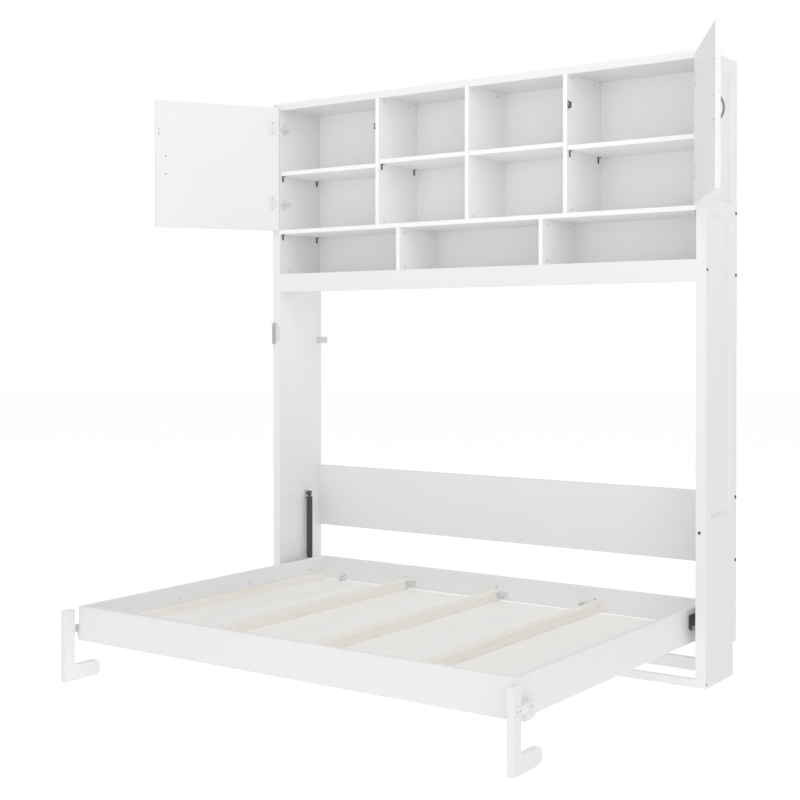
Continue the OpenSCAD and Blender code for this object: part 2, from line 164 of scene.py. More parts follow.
class Finish:
    """A material on a Principled shader, with helpers for the textures that drive it."""

    def __init__(self, name, color, roughness, metallic=0.0):
        self.material = bpy.data.materials.new(name)
        self.material.use_nodes = True
        self.tree = self.material.node_tree
        self.shader = self.tree.nodes["Principled BSDF"]
        self.shader.inputs["Base Color"].default_value = (*color, 1)
        self.shader.inputs["Roughness"].default_value = roughness
        self.shader.inputs["Metallic"].default_value = metallic
        self.coords = self.tree.nodes.new("ShaderNodeTexCoord").outputs["Object"]

    def stretched(self, scale):
        node = self.tree.nodes.new("ShaderNodeMapping")
        node.inputs["Scale"].default_value = scale
        self.tree.links.new(self.coords, node.inputs["Vector"])
        return node.outputs["Vector"]

    def noise(self, scale, stretch=(1, 1, 1), detail=3.0, distortion=0.0):
        node = self.tree.nodes.new("ShaderNodeTexNoise")
        node.inputs["Scale"].default_value = scale
        node.inputs["Detail"].default_value = detail
        node.inputs["Distortion"].default_value = distortion
        self.tree.links.new(self.stretched(stretch), node.inputs["Vector"])
        return node.outputs["Fac"]

    def rings(self, scale, stretch=(1, 1, 1), distortion=2.0):
        node = self.tree.nodes.new("ShaderNodeTexWave")
        node.bands_direction = "X"
        node.inputs["Scale"].default_value = scale
        node.inputs["Distortion"].default_value = distortion
        node.inputs["Detail"].default_value = 2.0
        self.tree.links.new(self.stretched(stretch), node.inputs["Vector"])
        return node.outputs["Fac"]

    def ramp(self, value, stops):
        node = self.tree.nodes.new("ShaderNodeValToRGB")
        first, last = node.color_ramp.elements
        first.position, first.color = stops[0][0], (*stops[0][1], 1)
        last.position, last.color = stops[-1][0], (*stops[-1][1], 1)
        for position, color in stops[1:-1]:
            node.color_ramp.elements.new(position).color = (*color, 1)
        self.tree.links.new(value, node.inputs["Fac"])
        return node.outputs["Color"]

    def mix(self, factor, a, b):
        node = self.tree.nodes.new("ShaderNodeMix")
        node.data_type = "RGBA"
        for socket, value in ((0, factor), (6, a), (7, b)):
            if isinstance(value, (float, int)):
                node.inputs[socket].default_value = value
            elif isinstance(value, tuple):
                node.inputs[socket].default_value = (*value, 1)
            else:
                self.tree.links.new(value, node.inputs[socket])
        return node.outputs[2]

    def spread(self, value, low, high):
        """Maps a texture's middle half onto low to high."""
        node = self.tree.nodes.new("ShaderNodeMapRange")
        node.inputs["From Min"].default_value = 0.25
        node.inputs["From Max"].default_value = 0.75
        node.inputs["To Min"].default_value = low
        node.inputs["To Max"].default_value = high
        self.tree.links.new(value, node.inputs["Value"])
        return node.outputs["Result"]

    def color(self, value):
        self.tree.links.new(value, self.shader.inputs["Base Color"])

    def roughness(self, value):
        self.tree.links.new(value, self.shader.inputs["Roughness"])

    def bump(self, *layers):
        """Each layer is (texture, height in millimetres)."""
        normal = None
        for value, height in layers:
            node = self.tree.nodes.new("ShaderNodeBump")
            node.inputs["Distance"].default_value = height * MM
            self.tree.links.new(value, node.inputs["Height"])
            if normal:
                self.tree.links.new(normal, node.inputs["Normal"])
            normal = node.outputs["Normal"]
        self.tree.links.new(normal, self.shader.inputs["Normal"])


def shade(color, amount):
    return tuple(c * amount for c in color)


def white_paint(name, color, roughness=0.42):
    """Satin spray paint: faint mottling, orange peel, and the board's fibres just telegraphing."""
    finish = Finish(name, color, roughness)
    mottle = finish.noise(3.0, detail=4.0)
    fine = finish.noise(45.0, detail=2.0)
    tint = finish.ramp(mottle, [(0.3, shade(color, 0.978)), (0.7, color)])
    finish.color(finish.mix(finish.spread(fine, 0.0, 0.25), tint, shade(color, 0.965)))
    finish.roughness(finish.spread(fine, roughness - 0.05, roughness + 0.08))
    finish.bump((finish.noise(420.0, detail=1.0), 0.05), (finish.noise(60.0, (1, 1, 0.12)), 0.03))
    finish.shader.inputs["Coat Weight"].default_value = 0.12
    finish.shader.inputs["Coat Roughness"].default_value = 0.3
    return finish.material


def deck_paint(name, top_z):
    """Face boards: painted outside, and a warmer sealed face inside the bed, above top_z."""
    outside, inside = WHITE, (0.93, 0.915, 0.89)
    finish = Finish(name, outside, 0.5)
    split = finish.tree.nodes.new("ShaderNodeSeparateXYZ")
    finish.tree.links.new(finish.coords, split.inputs["Vector"])
    above = finish.tree.nodes.new("ShaderNodeMath")
    above.operation = "GREATER_THAN"
    above.inputs[1].default_value = (top_z - 0.8) * MM
    finish.tree.links.new(split.outputs["Z"], above.inputs[0])
    grain = finish.noise(9.0, (1, 0.12, 1), detail=5.0, distortion=0.6)
    warm = finish.ramp(grain, [(0.3, shade(inside, 0.965)), (0.55, inside), (0.8, shade(inside, 1.02))])
    outer = finish.ramp(finish.noise(3.0), [(0.3, shade(outside, 0.978)), (0.7, outside)])
    finish.color(finish.mix(above.outputs["Value"], outer, warm))
    finish.roughness(finish.spread(grain, 0.42, 0.56))
    finish.bump((finish.noise(300.0, detail=1.0), 0.05), (finish.noise(70.0, (1, 0.1, 1)), 0.05))
    return finish.material


def pine_wood(name, along):
    """Planed pine with its grain along one axis: soft rings, fine fibres and a few small knots."""
    pale, mid, dark = (0.88, 0.855, 0.80), (0.86, 0.825, 0.75), (0.80, 0.74, 0.64)
    stretch = tuple(0.05 if axis == along else 1.0 for axis in range(3))
    finish = Finish(name, pale, 0.6)
    rings = finish.rings(34.0, stretch, distortion=5.0)
    fibres = finish.noise(220.0, stretch, detail=4.0)
    base = finish.ramp(rings, [(0.0, pale), (0.6, mid), (0.85, dark), (1.0, pale)])
    faded = finish.mix(0.55, base, pale)
    streaked = finish.mix(finish.spread(fibres, 0.0, 0.3), faded, dark)
    knot = finish.tree.nodes.new("ShaderNodeTexVoronoi")
    knot.inputs["Scale"].default_value = 5.5
    long = tuple(0.6 if axis == along else 1.0 for axis in range(3))
    finish.tree.links.new(finish.stretched(long), knot.inputs["Vector"])
    heart = finish.ramp(knot.outputs["Distance"], [(0.0, (1, 1, 1)), (0.05, (0.5,) * 3), (0.09, (0, 0, 0))])
    finish.color(finish.mix(heart, streaked, (0.46, 0.33, 0.2)))
    finish.roughness(finish.spread(fibres, 0.52, 0.7))
    finish.bump((fibres, 0.12), (rings, 0.05))
    return finish.material


def powder_coat(name, color, roughness):
    finish = Finish(name, color, roughness)
    speckle = finish.noise(700.0, detail=2.0)
    finish.color(finish.ramp(speckle, [(0.35, shade(color, 0.8)), (0.7, shade(color, 1.5))]))
    finish.roughness(finish.spread(speckle, roughness - 0.06, roughness + 0.1))
    finish.bump((speckle, 0.08),)
    return finish.material


def plated_steel(name, color, roughness, brush, metallic=1.0):
    """Bright zinc plate: rolling lines along brush and a light passivated mottling."""
    finish = Finish(name, color, roughness, metallic)
    lines = finish.noise(500.0, brush, detail=2.0)
    cloud = finish.noise(25.0)
    finish.color(finish.ramp(cloud, [(0.3, shade(color, 0.9)), (0.7, color)]))
    finish.roughness(finish.spread(lines, roughness - 0.07, roughness + 0.12))
    finish.bump((lines, 0.02),)
    return finish.material


def moulded_plastic(name, color, roughness):
    finish = Finish(name, color, roughness)
    grain = finish.noise(900.0, detail=1.0)
    finish.color(finish.ramp(finish.noise(30.0), [(0.3, shade(color, 0.95)), (0.7, color)]))
    finish.roughness(finish.spread(grain, roughness - 0.04, roughness + 0.08))
    finish.bump((grain, 0.03),)
    return finish.material


WHITE = (0.82, 0.82, 0.82)
PAINT = white_paint("white_paint", WHITE)
DOOR_PAINT = white_paint("door_paint", (0.81, 0.81, 0.81))
# The back panels, shelves and dividers use the same white paint as the outer boards, made lighter: painted
# light that lifts the shaded bays.
LIT_BACK_PAINT = white_paint("back_panel_paint_with_painted_light", (0.95, 0.95, 0.95), 0.5)
LIT_SHELF_PAINT = white_paint("shelf_paint_with_painted_light", (0.93, 0.93, 0.93))
PINE = pine_wood("pine", 1)
DECK = deck_paint("deck_paint", node_box("face_boards")[1].z)
BLACK = powder_coat("black_powder_coat", (0.018, 0.018, 0.02), 0.42)
SPRING_BLACK = powder_coat("gas_spring_black", (0.018, 0.0185, 0.02), 0.32)
PLASTIC = moulded_plastic("black_plastic", (0.022, 0.022, 0.023), 0.45)
CAP = moulded_plastic("white_plastic", (0.80, 0.80, 0.80), 0.38)
BLOCK = moulded_plastic("grey_plastic", (0.82, 0.82, 0.82), 0.4)
ZINC = plated_steel("zinc_steel", (0.82, 0.83, 0.84), 0.36, (1, 1, 0.05), 0.6)
SATIN = plated_steel("satin_zinc", (0.80, 0.80, 0.80), 0.5, (1, 1, 0.05), 0.35)
LEVER = plated_steel("satin_steel", (0.48, 0.48, 0.49), 0.4, (1, 1, 0.05), 0.5)
HANDLE = plated_steel("dark_nickel", (0.24, 0.24, 0.245), 0.24, (1, 1, 0.1))
HINGE_SCREW = plated_steel("hinge_screw_steel", (0.62, 0.62, 0.63), 0.4, (1, 1, 1), 0.4)
SCREW = plated_steel("screw_steel", (0.36, 0.36, 0.37), 0.38, (1, 1, 1))
ROD = plated_steel("polished_rod", (0.80, 0.80, 0.82), 0.14, (1, 1, 0.02))
# A near-black disc or slab set into screw and bolt sockets and cap notches: painted shade where the recess
# is.
SOCKET_SHADE = moulded_plastic("socket_painted_shade", (0.05, 0.05, 0.05), 0.7)

# ---------------------------------------------------------------- mesh kit


def at(point, direction=Z):
    """A matrix that takes the local +Z axis to a direction at a point."""
    turn = Vector(direction).to_track_quat("Z", "Y").to_matrix().to_4x4()
    return Matrix.Translation(Vector(point)) @ turn


def block(low, high):
    """A sharp-edged box between two corners."""
    shape = bmesh.new()
    bmesh.ops.create_cube(shape, size=1)
    for v in shape.verts:
        v.co = Vector([(low + high)[i] / 2 + v.co[i] * (high - low)[i] for i in range(3)])
    return shape


def basis(u, v, w, origin=(0, 0, 0)):
    """A matrix that takes the local X, Y and Z axes to u, v and w, at an origin."""
    matrix = Matrix((u, v, w)).transposed().to_4x4()
    matrix.translation = Vector(origin)
    return matrix


class Piece:
    """Shapes, in millimetres, that together make one visible piece."""

    def __init__(self):
        self.mesh = bmesh.new()

    def take(self, shape, matrix=None, finish=0):
        """Adds a finished shape."""
        if matrix is not None:
            shape.transform(matrix)
            if matrix.determinant() < 0:
                bmesh.ops.reverse_faces(shape, faces=shape.faces)
        for face in shape.faces:
            face.material_index = finish
        data = bpy.data.meshes.new("shape")
        shape.to_mesh(data)
        shape.free()
        self.mesh.from_mesh(data)
        bpy.data.meshes.remove(data)
        return self

    def box(self, low, high, r=0.6, steps=2, finish=0, matrix=None):
        """A box with all its edges rounded by r."""
        low, high = Vector(low), Vector(high)
        shape = block(low, high)
        r = min(r, min(high - low) * 0.45)
        edges = [e for e in shape.edges if e.calc_face_angle(0) > 0.6]
        bmesh.ops.bevel(shape, geom=edges, offset=r, segments=steps, profile=0.5, affect="EDGES")
        return self.take(shape, matrix, finish)

    def lathe(self, profile, matrix, finish=0, sides=28, ring=False):
        """Turns (radius, height) points about local Z. A ring's profile closes on itself."""
        shape = bmesh.new()
        rows = []
        for radius, height in profile:
            if radius < 1e-6:
                rows.append([shape.verts.new((0, 0, height))])
                continue
            turns = [2 * math.pi * i / sides for i in range(sides)]
            circle = [(radius * math.cos(a), radius * math.sin(a), height) for a in turns]
            rows.append([shape.verts.new(point) for point in circle])
        pairs = list(zip(rows, rows[1:] + ([rows[0]] if ring else [])))
        for a, b in pairs:
            for i in range(sides):
                j = (i + 1) % sides
                corners = [a[i % len(a)], a[j % len(a)], b[j % len(b)], b[i % len(b)]]
                shape.faces.new(list(dict.fromkeys(corners)))
        bmesh.ops.recalc_face_normals(shape, faces=shape.faces)
        return self.take(shape, matrix, finish)

    def plate(self, outline, thickness, matrix=None, r=0.5, finish=0, steps=2):
        """A flat outline raised by a thickness along local Z, with its rims rounded."""
        shape = bmesh.new()
        corners = [shape.verts.new((x, y, 0)) for x, y in outline]
        base = shape.faces.new(corners)
        made = bmesh.ops.extrude_face_region(shape, geom=[base])
        top = [g for g in made["geom"] if isinstance(g, bmesh.types.BMVert)]
        bmesh.ops.translate(shape, verts=top, vec=(0, 0, thickness))
        bmesh.ops.recalc_face_normals(shape, faces=shape.faces)
        rims = [e for e in shape.edges if abs(e.verts[0].co.z - e.verts[1].co.z) < 1e-6]
        bmesh.ops.bevel(shape, geom=rims, offset=r, segments=steps, profile=0.5, affect="EDGES")
        return self.take(shape, matrix, finish)

    def tube(self, path, radius, finish=0, sides=14, matrix=None):
        """A round bar along a path, with slightly domed ends."""
        shape = bmesh.new()
        path = [Vector(p) for p in path]
        normal = (path[1] - path[0]).normalized().orthogonal()
        rings = []
        for i, point in enumerate(path):
            along = (path[min(i + 1, len(path) - 1)] - path[max(i - 1, 0)]).normalized()
            normal = (normal - along * normal.dot(along)).normalized()
            side = along.cross(normal)
            turns = [2 * math.pi * k / sides for k in range(sides)]
            rings.append([shape.verts.new(point + (normal * math.cos(a) + side * math.sin(a)) * radius)
                          for a in turns])
        for a, b in zip(rings, rings[1:]):
            for i in range(sides):
                shape.faces.new((a[i], a[(i + 1) % sides], b[(i + 1) % sides], b[i]))
        for ring, point, other in ((rings[0], path[0], path[1]), (rings[-1], path[-1], path[-2])):
            tip = shape.verts.new(point + (point - other).normalized() * radius * 0.35)
            for i in range(sides):
                shape.faces.new((ring[i], ring[(i + 1) % sides], tip))
        bmesh.ops.recalc_face_normals(shape, faces=shape.faces)
        return self.take(shape, matrix, finish)

    def moulding(self, low, high, matrix, width=9.0, height=6.0, finish=0):
        """A mitred bead just inside a rectangle of the local XY plane."""
        section = [(0, 0), (0, height), (0.25, height), (0.45, height * 0.82), (0.6, height * 0.5),
                   (0.72, height * 0.42), (0.9, height * 0.3), (1.0, height * 0.12), (1.0, 0)]
        shape = bmesh.new()
        rows = []
        for inset, rise in section:
            i = inset * width
            corners = ((low[0] + i, low[1] + i), (high[0] - i, low[1] + i),
                       (high[0] - i, high[1] - i), (low[0] + i, high[1] - i))
            rows.append([shape.verts.new((x, y, rise)) for x, y in corners])
        for a, b in zip(rows, rows[1:] + rows[:1]):
            for k in range(4):
                shape.faces.new((a[k], a[(k + 1) % 4], b[(k + 1) % 4], b[k]))
        bmesh.ops.recalc_face_normals(shape, faces=shape.faces)
        return self.take(shape, matrix, finish)

    def screw(self, point, direction, r=3.6, finish=0, dark=1):
        """A domed screw head with a round driver socket. The socket is a disc in the dark finish: painted
        shade in the recess.
        """
        h = r * 0.5
        head = [(0, 0.15 * h), (r * 0.36, 0.15 * h), (r * 0.4, h), (r * 0.62, h * 0.9), (r * 0.88, h * 0.55),
                (r, 0.1 * h), (r, -0.3), (0, -0.3)]
        self.lathe(head, at(point, direction), finish, sides=18)
        socket = [(0, 0.3 * h), (r * 0.34, 0.22 * h), (r * 0.34, 0), (0, 0)]
        self.lathe(socket, at(point, direction), dark, sides=6)
        return self

    def make(self, name, body, finishes, replaces=(), matrix=None, smooth=40):
        """Turns the shapes into an object that rides on a body."""
        if matrix is not None:
            self.mesh.transform(matrix)
            if matrix.determinant() < 0:
                bmesh.ops.reverse_faces(self.mesh, faces=self.mesh.faces)
        self.mesh.transform(Matrix.Scale(MM, 4))
        data = bpy.data.meshes.new(name)
        self.mesh.to_mesh(data)
        self.mesh.free()
        for finish in finishes:
            data.materials.append(finish)
        data.polygons.foreach_set("use_smooth", [True] * len(data.polygons))
        data.set_sharp_from_angle(angle=math.radians(smooth))
        obj = bpy.data.objects.new(name, data)
        bpy.context.scene.collection.objects.link(obj)
        weighted = obj.modifiers.new("weighted_normals", "WEIGHTED_NORMAL")
        weighted.keep_sharp = True
        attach(obj, body)
        if replaces:
            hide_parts(*replaces)
        return obj


def arc(centre, r, start, end, steps=8):
    """Points of an arc, with its angles in degrees."""
    turns = [math.radians(start + (end - start) * i / steps) for i in range(steps + 1)]
    return [(centre[0] + r * math.cos(a), centre[1] + r * math.sin(a)) for a in turns]


def round_rect(width, height, r, steps=5):
    """A rectangle centred on the origin, with round corners."""
    x, y = width / 2 - r, height / 2 - r
    points = []
    for k, (sx, sy) in enumerate(((1, 1), (-1, 1), (-1, -1), (1, -1))):
        points += arc((sx * x, sy * y), r, 90 * k, 90 * k + 90, steps)
    return points


def finish_node(node, material, width=1.0, steps=2):
    """Gives a CAD node its material and eases its edges."""
    obj = frame["nodes"][node]
    obj.data.materials.clear()
    obj.data.materials.append(material)
    weld = obj.modifiers.new("weld", "WELD")
    weld.merge_threshold = 0.00002
    bevel = obj.modifiers.new("eased_edges", "BEVEL")
    bevel.width = width * MM
    bevel.segments = steps
    bevel.limit_method = "ANGLE"
    bevel.angle_limit = math.radians(50)
    weighted = obj.modifiers.new("weighted_normals", "WEIGHTED_NORMAL")
    weighted.keep_sharp = True


# ---------------------------------------------------------------- boards

POST_LOW, POST_HIGH = node_box("right_side_lower")
UPPER_LOW, UPPER_HIGH = node_box("right_side_upper")
IN_X, OUT_X = POST_LOW.x, POST_HIGH.x
DEPTH = POST_HIGH.y
SEAM_Z, TOP_Z = UPPER_LOW.z, UPPER_HIGH.z
STILE = 55                # plain border round a recess in a side
RECESS = 8                # depth of that recess
RECESS_Z = (634, SEAM_Z - 30, SEAM_Z + 22, TOP_Z - 62)


def make_boards():
    for node in ("left_side_lower", "right_side_lower", "left_side_upper", "right_side_upper"):
        finish_node(node, PAINT, 1.6, 3)
    plain = ["top_panel", "crown_rail", "valance", "back_board", "base_front_rail", "base_rear_rail"]
    for node in plain:
        finish_node(node, PAINT, 1.0)
    inner = ["main_shelf", "bottom_shelf", "lower_divider_1", "lower_divider_2"]
    inner += [f"upper_divider_{i}" for i in (1, 2, 3)]
    inner += [f"shelf_{i}" for i in (1, 2, 3, 4)]
    # The bay boards here and the back panels below take lighter copies of the white paint: painted light.
    for node in inner:
        finish_node(node, LIT_SHELF_PAINT, 1.0)
    for node in ("upper_back_panel", "lower_back_panel"):
        finish_node(node, LIT_BACK_PAINT, 0.6)
    for side, _ in SIDES:
        finish_node(f"{side}_door_frame", DOOR_PAINT, 0.3)
        finish_node(f"{side}_door_panel", DOOR_PAINT, 0.1)
    finish_node("face_boards", DECK, 0.5)
    finish_node("joists", PINE, 2.0, 3)
    finish_node("side_cleats", PINE, 1.5, 2)


def make_side_mouldings():
    """Beads round the recess in each side's outer face."""
    face = basis(Y, Z, X, (OUT_X - RECESS, 0, 0))
    for side, sign in SIDES:
        beads = Piece()
        for low_z, high_z in (RECESS_Z[:2], RECESS_Z[2:]):
            beads.moulding((STILE, low_z), (DEPTH - STILE, high_z), face, 10, RECESS - 1.5)
        beads.make(f"{side}_side_moulding", "cabinet", [PAINT],
                   matrix=MIRROR if sign < 0 else None)


RAIL_CORNER = 6           # radius of the front rail's upright outer corners
RAIL_TOP = 4              # radius of the rails' top edges


def make_bed_rails():
    """Rails with rounded top edges. The front rail's outer corners are rounded as well."""
    for node in ("bed_left_rail", "bed_right_rail", "bed_front_rail", "bed_rear_rail"):
        low, high = node_box(node)
        front = node == "bed_front_rail"

        def corner(a, b):
            return abs(a.z - b.z) > 1 and a.y < low.y + 1

        rail = Piece()
        shape = block(low, high)
        if front:
            ends = [e for e in shape.edges if corner(*[v.co for v in e.verts])]
            bmesh.ops.bevel(shape, geom=ends, offset=RAIL_CORNER, segments=8, profile=0.5, affect="EDGES")
        tops = [e for e in shape.edges if all(v.co.z > high.z - 0.01 for v in e.verts)]
        bmesh.ops.bevel(shape, geom=tops, offset=RAIL_TOP, segments=5, profile=0.5, affect="EDGES")
        rest = [e for e in shape.edges if all(v.co.z < low.z + 0.01 for v in e.verts)]
        bmesh.ops.bevel(shape, geom=rest, offset=0.4, segments=2, profile=0.5, affect="EDGES")
        rail.take(shape)
        rail.make(node.replace("bed_", "rounded_"), "bed", [PAINT], [node])


# ---------------------------------------------------------------- cabinet hardware


def board_faces():
    """The X of every upright face in the cabinet, with the way it looks."""
    faces = [(-IN_X, 1), (IN_X, -1)]
    for node in [f"upper_divider_{i}" for i in (1, 2, 3)] + [f"lower_divider_{i}" for i in (1, 2)]:
        low, high = node_box(node)
        faces += [(low.x, -1), (high.x, 1)]
    return faces


def facing(low, high):
    """The upright face that a small solid stands on: its X and the way it looks."""
    return min(board_faces(), key=lambda f: abs((low.x if f[1] > 0 else high.x) - f[0]))


def make_shelf_pins():
    """Bent-strip shelf supports: a leg on the board with a rivet, and a lip under the shelf."""
    pins = Piece()
    for low, high in solids("shelf_pins"):
        x, out = facing(low, high)
        width, middle = high.y - low.y, (low.y + high.y) / 2
        t = 2.6
        drop, reach = high.z - low.z, high.x - low.x
        outline = [(0, 0), (0, -drop + 3), (1, -drop), (t - 1, -drop), (t, -drop + 3), (t, -t - 2)]
        outline += [(t + 0.6, -t - 0.6), (t + 2, -t), (reach, -t), (reach, 0)]
        turn = basis(X * out, Z, Y, (x, middle - width / 2, high.z))
        pins.plate(outline, width, turn, 0.5)
        pins.screw((x + out * t, middle, high.z - drop * 0.62), (out, 0, 0), 2.6, 0, 0)
    pins.make("shelf_pin_set", "cabinet", [BLACK], ["shelf_pins"])


def make_cam_caps():
    """Push-in caps over the cam fasteners, each with a rim, a shallow dish and a pry notch. The notch is a
    dark slab: painted shade.
    """
    caps = Piece()
    for low, high in solids("cam_caps"):
        x, out = facing(low, high)
        centre = (x, (low.y + high.y) / 2, (low.z + high.z) / 2)
        r = (high.z - low.z) / 2
        profile = [(0, 0.9), (r * 0.7, 0.9), (r * 0.78, 1.35), (r * 0.9, 1.45), (r, 1.0), (r, 0), (0, 0)]
        caps.lathe(profile, at(centre, (out, 0, 0)))
        caps.box((-0.8, -r * 0.45, 0.8), (0.8, r * 0.45, 1.0), 0.1, 1, 1, matrix=at(centre, (out, 0, 0)))
    caps.make("cam_cap_set", "cabinet", [CAP, SOCKET_SHADE], ["cam_caps"])


def make_connector_bolts():
    """Flat-headed furniture bolts with a six-sided socket. The socket is a dark six-sided plug: painted
    shade.
    """
    bolts = Piece()
    for low, high in solids("connector_bolts"):
        centre, size = (low + high) / 2, high - low
        if size.x < size.y:
            out = Vector((math.copysign(1, centre.x), 0, 0))
            seat = Vector((math.copysign(OUT_X, centre.x), centre.y, centre.z))
            r, h = size.z / 2, size.x
        else:
            out, seat, r, h = -Y, Vector((centre.x, high.y, centre.z)), size.z / 2, size.y
        head = [(0, h * 0.35), (r * 0.42, h * 0.35), (r * 0.46, h * 0.96), (r * 0.8, h), (r, h * 0.55)]
        head += [(r, 0), (0, 0)]
        bolts.lathe(head, at(seat, out), 0, 24)
        bolts.lathe([(0, h * 0.4), (r * 0.4, h * 0.4), (r * 0.4, 0.1), (0, 0.1)], at(seat, out), 1, 6)
    bolts.make("connector_bolt_set", "cabinet", [BLACK, SOCKET_SHADE], ["connector_bolts"])


def make_door_catches():
    """Magnetic catches: a round-ended housing, two steel pole strips and two screws."""
    catches = Piece()
    for low, high in solids("door_catches"):
        x, out = facing(low, high)
        middle, depth = (low.z + high.z) / 2, high.x - low.x
        a, b = sorted((x, x + out * depth))
        catches.box((a, low.y + 3, low.z + 6), (b, high.y, high.z - 6), 1.5, 3)
        a, b = sorted((x, x + out * 3))
        catches.box((a, low.y + 5, low.z), (b, high.y - 2, high.z), 1.2, 2)
        for z in (-1, 1):
            catches.box((x + out * depth * 0.5 - 4, low.y, middle + z * 4 - 1.2),
                        (x + out * depth * 0.5 + 4, low.y + 6, middle + z * 4 + 1.2), 0.3, 1, 1)
            catches.screw((x + out * 3, (low.y + high.y) / 2, middle + z * 15), (out, 0, 0), 2.6, 1, 2)
    catches.make("magnetic_catches", "cabinet", [PLASTIC, ZINC, SOCKET_SHADE], ["door_catches"])


def make_hinge_plates():
    """The cabinet half of each concealed hinge: a winged plate, a stepped arm and its screws."""
    for side, sign in SIDES:
        plates = Piece()
        for low, high in solids("hinge_plates"):
            if low.x < 0:
                continue
            z = (low.z + high.z) / 2
            middle, tall = (low.y + high.y) / 2 - 4, high.z - low.z
            wings = round_rect(52, 17, 5)
            post = basis(Y, Z, -X, (IN_X, middle, z))
            plates.plate(wings, 3.5, post, 0.8)
            plates.plate(round_rect(22, tall, 6), 2.6, post, 0.6)
            plates.box((IN_X - 11, low.y + 7, z - 7), (IN_X - 3, high.y, z + 7), 2.0, 3)
            plates.box((IN_X - 13.5, low.y + 2, z - 6), (IN_X - 6, low.y + 30, z + 6), 2.2, 3)
            for dz in (-1, 1):
                plates.screw((IN_X - 2.6, middle, z + dz * tall * 0.36), (-1, 0, 0), 3.4, 1, 2)
            for dy in (14, 42):
                plates.screw((IN_X - (13.5 if dy == 14 else 11), low.y + dy, z), (-1, 0, 0), 3.2, 1, 2)
        # The sockets of these screws take the darker screw steel: painted shade.
        plates.make(f"{side}_hinge_arms", "cabinet", [SATIN, HINGE_SCREW, SCREW],
                    ["hinge_plates"] if sign > 0 else (), MIRROR if sign < 0 else None)


def make_wall_brackets():
    """Screws that hold each anti-tip bracket to its post."""
    finish_node("wall_brackets", ZINC, 0.8)
    low, high = node_box("wall_brackets")
    middle = (low.z + high.z) / 2
    screws = Piece()
    for _, sign in SIDES:
        for dz in (-8, 8):
            screws.screw((sign * (IN_X - 3), DEPTH - 22, middle + dz), (-sign, 0, 0), 3.4)
    screws.make("wall_bracket_screws", "cabinet", [SCREW, SOCKET_SHADE])


def make_post_plates():
    """The plates on the posts: one pair for the bed's pivot pins and one for the gas springs."""
    kinds = (("post_pivots", "pivot_plate", 8, 13, "black_steel", BLACK),
             ("spring_post_mounts", "spring_mount", 5, 9, "zinc_steel", ZINC))
    for node, name, pin_r, collar, slot, metal in kinds:
        for side, sign in SIDES:
            piece = Piece()
            for low, high in solids(node):
                if low.x < 0:
                    continue
                t = 4
                centre = (low + high) / 2
                pin = PIVOT if node == "post_pivots" else SPRING_TOP
                face = basis(Y, Z, -X, (IN_X, centre.y, centre.z))
                piece.plate(round_rect(high.y - low.y, high.z - low.z, 7), t, face, 0.7)
                inward = at((IN_X, pin.y, pin.z), (-1, 0, 0))
                reach = IN_X - low.x
                shaft = [(0, t - 1), (collar, t - 1), (collar, t + 3), (collar - 1, t + 4), (pin_r, t + 4)]
                shaft += [(pin_r, reach - 1), (pin_r - 1, reach), (0, reach)]
                piece.lathe(shaft, inward, 1)
                for dz in (-1, 1):
                    for dy in (-1, 1):
                        y = centre.y + dy * (high.y - low.y) * 0.32
                        z = centre.z + dz * (high.z - low.z) * 0.4
                        piece.screw((IN_X - t, y, z), (-1, 0, 0), 3.0, 1, 2)
            piece.make(f"{side}_{name}", "cabinet", [metal, SCREW, SOCKET_SHADE],
                       [node] if sign > 0 else (), MIRROR if sign < 0 else None)


def make_lock():
    """The lever that keeps the closed bed in, its shoulder screw and the keeper plate beside it."""
    low, high = node_box("lock_lever")
    axis = JOINTS["bed_lock_turn"]
    r, t = (high.x - low.x) / 2, high.y - low.y
    end = low.z + 6
    outline = arc((0, 0), r, -30, 210, 16)
    outline += [(-r * 0.72, -r * 1.4), (-r * 0.72, end - axis.z + 3)]
    outline += [(-r * 0.5, end - axis.z - 4), (r * 0.5, end - axis.z - 4)]
    outline += [(r * 0.72, end - axis.z + 3), (r * 0.72, -r * 1.4)]
    turn = basis(X, Z, -Y, (axis.x, high.y, axis.z))
    lever = Piece()
    lever.plate(outline, t, turn, 1.2, steps=3)
    lever.make("round_headed_lever", "bed_lock", [LEVER], ["lock_lever"])
    low, high = node_box("lever_pivot")
    stud = Piece()
    stud.lathe([(0, 1.6), (2.2, 1.6), (2.4, 2.8), (5.6, 3.0), (7, 2.0), (7, 0.4), (0, 0.4)],
               at((axis.x, low.y + 3, axis.z), -Y), 0)
    # The socket is a dark six-sided disc: painted shade.
    stud.lathe([(0, 1.7), (2.2, 1.7), (2.2, 0.6), (0, 0.6)], at((axis.x, low.y + 3, axis.z), -Y), 1, 6)
    shank = high.y - low.y - 3
    stud.lathe([(0, 0), (4, 0), (4, shank), (0, shank)], at((axis.x, high.y, axis.z), -Y), 0)
    stud.make("lever_shoulder_screw", "cabinet", [ZINC, SOCKET_SHADE], ["lever_pivot"])
    keeper = Piece()
    keeper.box((-IN_X - 10, -1.5, axis.z - 72), (-IN_X - 4, 0.5, axis.z - 7), 0.5)
    for dz in (-14, -65):
        keeper.screw((-IN_X - 7, -1.4, axis.z + dz), -Y, 1.9, 1, 2)
    keeper.make("lock_keeper", "cabinet", [ZINC, SCREW, SOCKET_SHADE])


